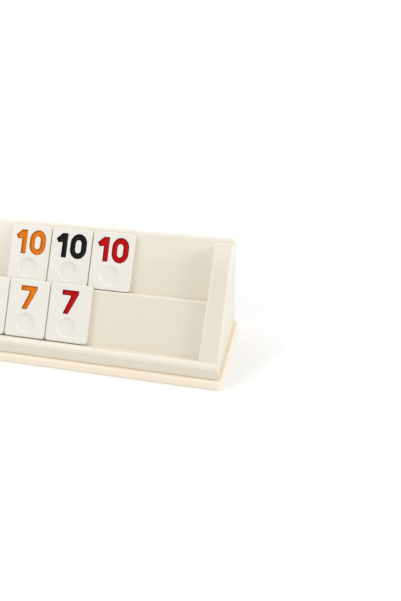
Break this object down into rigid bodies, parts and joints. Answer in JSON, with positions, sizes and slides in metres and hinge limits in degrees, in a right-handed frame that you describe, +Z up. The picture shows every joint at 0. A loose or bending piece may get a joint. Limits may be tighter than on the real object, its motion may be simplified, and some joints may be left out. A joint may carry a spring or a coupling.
{
  "type": "rummy tile rack",
  "caption": "Two-tier sloping tile rack of moulded plastic on a flat base plate, with loose numbered game tiles standing on both tiers.",
  "frame": {"origin": "centre of the underside of the base plate", "axes": "+Z up, +X along the rack to the right as the player sees it, +Y towards the back of the rack"},
  "size_m": [0.3838, 0.0654, 0.0716],
  "materials": {
    "rack_plastic": "cream moulded plastic with a soft satin sheen",
    "base_plastic": "pale peach moulded plastic, satin",
    "screw_steel": "zinc plated steel",
    "tile_plastic": "ivory white moulded plastic, polished",
    "paint_orange": "glossy enamel in the engraved numbers",
    "paint_black": "glossy enamel in the engraved numbers",
    "paint_red": "glossy enamel in the engraved numbers"
  },
  "bodies": {
    "rack": {"rack_shell": "rack_plastic", "base_plate": "base_plastic", "base_screws": "screw_steel"},
    "tile_10_orange": {"tile_10_orange": "tile_plastic"},
    "tile_10_black": {"tile_10_black": "tile_plastic"},
    "tile_10_red": {"tile_10_red": "tile_plastic"},
    "tile_7_black": {"tile_7_black": "tile_plastic"},
    "tile_7_orange": {"tile_7_orange": "tile_plastic"},
    "tile_7_red": {"tile_7_red": "tile_plastic"}
  },
  "joints": [
    {"name": "tile_10_orange_lift", "type": "slide", "parent": "rack", "child": "tile_10_orange", "axis": [0, 0.5878, 0.809], "range_m": [0, 0.04]},
    {"name": "tile_10_black_lift", "type": "slide", "parent": "rack", "child": "tile_10_black", "axis": [0, 0.5878, 0.809], "range_m": [0, 0.04]},
    {"name": "tile_10_red_lift", "type": "slide", "parent": "rack", "child": "tile_10_red", "axis": [0, 0.5878, 0.809], "range_m": [0, 0.04]},
    {"name": "tile_7_black_lift", "type": "slide", "parent": "rack", "child": "tile_7_black", "axis": [0, 0.5878, 0.809], "range_m": [0, 0.04]},
    {"name": "tile_7_orange_lift", "type": "slide", "parent": "rack", "child": "tile_7_orange", "axis": [0, 0.5878, 0.809], "range_m": [0, 0.04]},
    {"name": "tile_7_red_lift", "type": "slide", "parent": "rack", "child": "tile_7_red", "axis": [0, 0.5878, 0.809], "range_m": [0, 0.04]}
  ]
}
